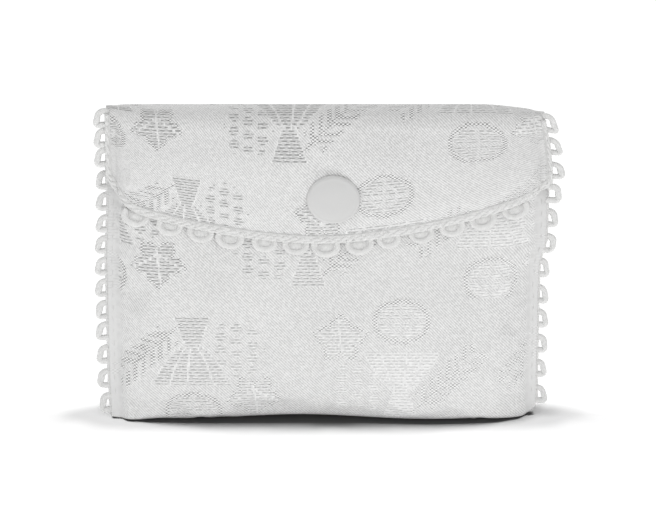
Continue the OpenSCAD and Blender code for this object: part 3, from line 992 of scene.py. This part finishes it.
# ---------------------------------------------------------------- stitches
def stitch(a, b, out, d=0.2):
    """One stitch: the thread comes up, lies on the cloth and goes down again."""
    a, b, out = (np.asarray(v, float) for v in (a, b, out))
    t = np.linspace(0, 1, 9)
    rise = np.sin(np.pi * t) ** 0.5
    path = a + (b - a) * t[:, None] + out * ((rise - 1) * 0.2)[:, None]
    return tube(path, out, d * (0.75 + 0.25 * rise), d * (0.75 + 0.25 * rise), 8)


def row_of_stitches(name, node, body, ends):
    """One piece of thread, from each stitch's two ends and the way it faces."""
    made = Bundle()
    for a, b, out in ends:
        made.add(stitch(a, b, out))
    ob = made.make(name, THREAD_MAT, flap=body == "flap")
    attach(ob, body)
    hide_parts(node)


def depth_at(x, z):
    """Half the pocket's depth at one point."""
    return float(half(np.array(float(x)), np.array(float(z))))


PITCH, STITCH = 3.0, 2.1                    # from stitch to stitch, and the length of one
PROUD = 0.04                                # a stitch's thread lies this far off the cloth

for sign, word in ((-1, "left"), (1, "right")):
    ends = []
    for z in np.arange(6, MOUTH - 3 + 0.01, PITCH):
        for side in (-1, 1):
            x = sign * (EDGE_X - 1 + rng.normal(0, 0.05))
            y = side * (SEAM - 0.02)
            ends.append(((x, y, z), (x, y, z + STITCH), (0, side, 0)))
    row_of_stitches(word + "_seam_thread", word + "_seam_stitches", "pouch", ends)

hem_z = MOUTH - 2.5
mouth_ends, flap_ends = [], []
for x in np.arange(-40.5, 39.01, PITCH):
    x2 = x + STITCH
    a = (x, -depth_at(x, hem_z) - PROUD, hem_z)
    b = (x2, -depth_at(x2, hem_z) - PROUD, hem_z)
    mouth_ends.append((a, b, (0, -1, 0)))
    za, zb = float(edge(x)) + 0.9, float(edge(x2)) + 0.9
    a = (x, -(depth_at(x, za) + OUT) - PROUD, za)
    b = (x2, -(depth_at(x2, zb) + OUT) - PROUD, zb)
    flap_ends.append((a, b, (0, -1, 0)))
row_of_stitches("mouth_hem_thread", "mouth_stitches", "pouch", mouth_ends)
row_of_stitches("flap_edge_thread", "flap_stitches", "flap", flap_ends)


# ---------------------------------------------------------------- the snap's cap
def lathe(profile, sides=96):
    """A turned part on the snap's axis, from radius and height in front of the flap's face."""
    face_y = -(THICK / 2 + OUT)
    verts, uv = [], []
    for r, h in profile:
        for k in range(sides):
            a = 2 * math.pi * k / sides
            verts.append((SNAP_X + r * math.cos(a), face_y - h, SNAP_Z + r * math.sin(a)))
            uv.append((r * math.cos(a), r * math.sin(a)))
    return np.array(verts), ring_faces(len(profile), sides), np.array(uv)


rim_h = CAP_H - 0.2
EDGE_R = 0.7                                # radius of the cap's rounded edge
cap_profile = [(0.6, -0.1), (CAP_R - 0.5, -0.1), (CAP_R - 0.1, 0.0), (CAP_R, 0.25)]
for a in np.radians(np.linspace(0, 82, 9))[1:]:
    cap_profile.append((CAP_R - EDGE_R + EDGE_R * math.cos(a), 0.3 + (rim_h - 0.3) * math.sin(a)))
# a faint groove inside the edge, then a slightly domed top
cap_profile += [(CAP_R - 0.8, rim_h), (CAP_R - 1.0, rim_h - 0.01), (CAP_R - 1.2, rim_h + 0.02)]
cap_profile += [(CAP_R * s, CAP_H - 0.16 * s * s) for s in (0.7, 0.5, 0.3, 0.05)]
post_profile = [(0.3, -0.75), (1.2, -0.75), (1.25, -0.7), (1.25, 0.3), (0.3, 0.3)]
cap = Bundle()
cap.add(lathe(cap_profile))
cap.add(lathe(post_profile, 32))
cap_ob = cap.make("snap_cap_moulding", RESIN_MAT, flap=True)
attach(cap_ob, "flap")
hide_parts("snap_cap")

for node in ("snap_socket", "snap_stud", "snap_stud_post"):
    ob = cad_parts[node]
    if not ob.material_slots:
        ob.data.materials.append(RESIN_MAT)
    for slot in ob.material_slots:
        slot.material = RESIN_MAT

# ---------------------------------------------------------------- floor, light and camera
FLOOR = 0.1                                 # how much light the floor throws back
FLOOR_SUN = 1.1 * math.pi / FLOOR           # the light that makes it 1.1 times white
floor_mat, _, _ = material("floor", (FLOOR, FLOOR, FLOOR), 0.9, 0.0)
bpy.ops.mesh.primitive_plane_add(size=6.0, location=(0, 0, 0))
floor = bpy.context.object
floor.name = "floor"
floor.data.materials.append(floor_mat)

studio = bpy.data.worlds.new("studio")
studio.use_nodes = True
studio.node_tree.nodes["Background"].inputs["Color"].default_value = (1, 1, 1, 1)
studio.node_tree.nodes["Background"].inputs["Strength"].default_value = 0.5
scene = bpy.context.scene
scene.world = studio


def only_for(light, state):
    """Limit what a lamp lights: the floor alone, or everything but the floor."""
    shelf = bpy.data.collections.new(light.name + "_targets")
    shelf.objects.link(floor)
    light.light_linking.receiver_collection = shelf
    for entry in shelf.collection_objects:
        entry.light_linking.link_state = state


def lamp(name, kind, place_m, power, size, target=(0, 0, 0)):
    """A square lamp, or a sun whose size is an angle, pointed at its target."""
    d = bpy.data.lights.new(name, kind)
    d.energy = power
    if kind == "AREA":
        d.size = size
    else:
        d.angle = size
    ob = bpy.data.objects.new(name, d)
    ob.location = place_m
    ob.rotation_euler = (Vector(target) - Vector(place_m)).to_track_quat("-Z", "Y").to_euler()
    scene.collection.objects.link(ob)
    return ob


# the floor has lamps of its own, so that it is white and the pouch isn't overlit
open_lace = bpy.data.collections.new("open_lace")
for name in ("left_picot_lace", "right_picot_lace"):
    open_lace.objects.link(bpy.data.objects[name])
# near-overhead suns that lean to the left or right by these degrees, and how they share the light
for lean, share in ((-18, 0.12), (-8, 0.22), (0, 0.32), (7, 0.22), (16, 0.12)):
    spot = (-math.tan(math.radians(lean)), 0.005 * abs(lean) - 0.045, 1.0)
    sun = lamp(f"floor_light_{lean}", "SUN", spot, FLOOR_SUN * share, math.radians(3.5))
    only_for(sun, "INCLUDE")
    sun.light_linking.blocker_collection = open_lace
# the open side lace doesn't darken the floor under it
for entry in open_lace.collection_objects:
    entry.light_linking.link_state = "EXCLUDE"

fills = {}
for name, place_m, power, size in (("front_fill", (0.6, -1.1, 0.9), 3.0, 0.7),
                                   ("top_fill", (0, -0.1, 1.2), 1.8, 0.6),
                                   ("bounce", (0, -0.25, -0.5), 0.4, 0.5),
                                   ("left_fill", (-1.1, -0.6, 0.5), 1.15, 0.7),
                                   ("back_fill", (-0.4, 1.2, 0.6), 3.0, 0.7)):
    fills[name] = lamp(name, "AREA", place_m, power, size, (0, 0, 0.04))
    only_for(fills[name], "EXCLUDE")
# the light that a white floor would throw back up: the floor doesn't block it
linking = fills["bounce"].light_linking
linking.blocker_collection = linking.receiver_collection

scene.view_settings.view_transform = "Standard"
scene.view_settings.look = "None"

elevation = math.radians(28)
distance, shift = 1.0635, 0.00285           # from the aim, and how far it is above the middle
toward = Vector((0, -math.cos(elevation), math.sin(elevation)))
up_screen = Vector((0, math.sin(elevation), math.cos(elevation)))
aim = Vector((0.0002, (CY - 4) * MM, 0.038)) + up_screen * shift
cam_data = bpy.data.cameras.new("camera")
cam_data.sensor_width = 36
cam_data.lens = 260
cam_data.clip_end = 20
cam = bpy.data.objects.new("camera", cam_data)
cam.location = aim + toward * distance
cam.rotation_euler = (-toward).to_track_quat("-Z", "Y").to_euler()
scene.collection.objects.link(cam)
scene.camera = cam
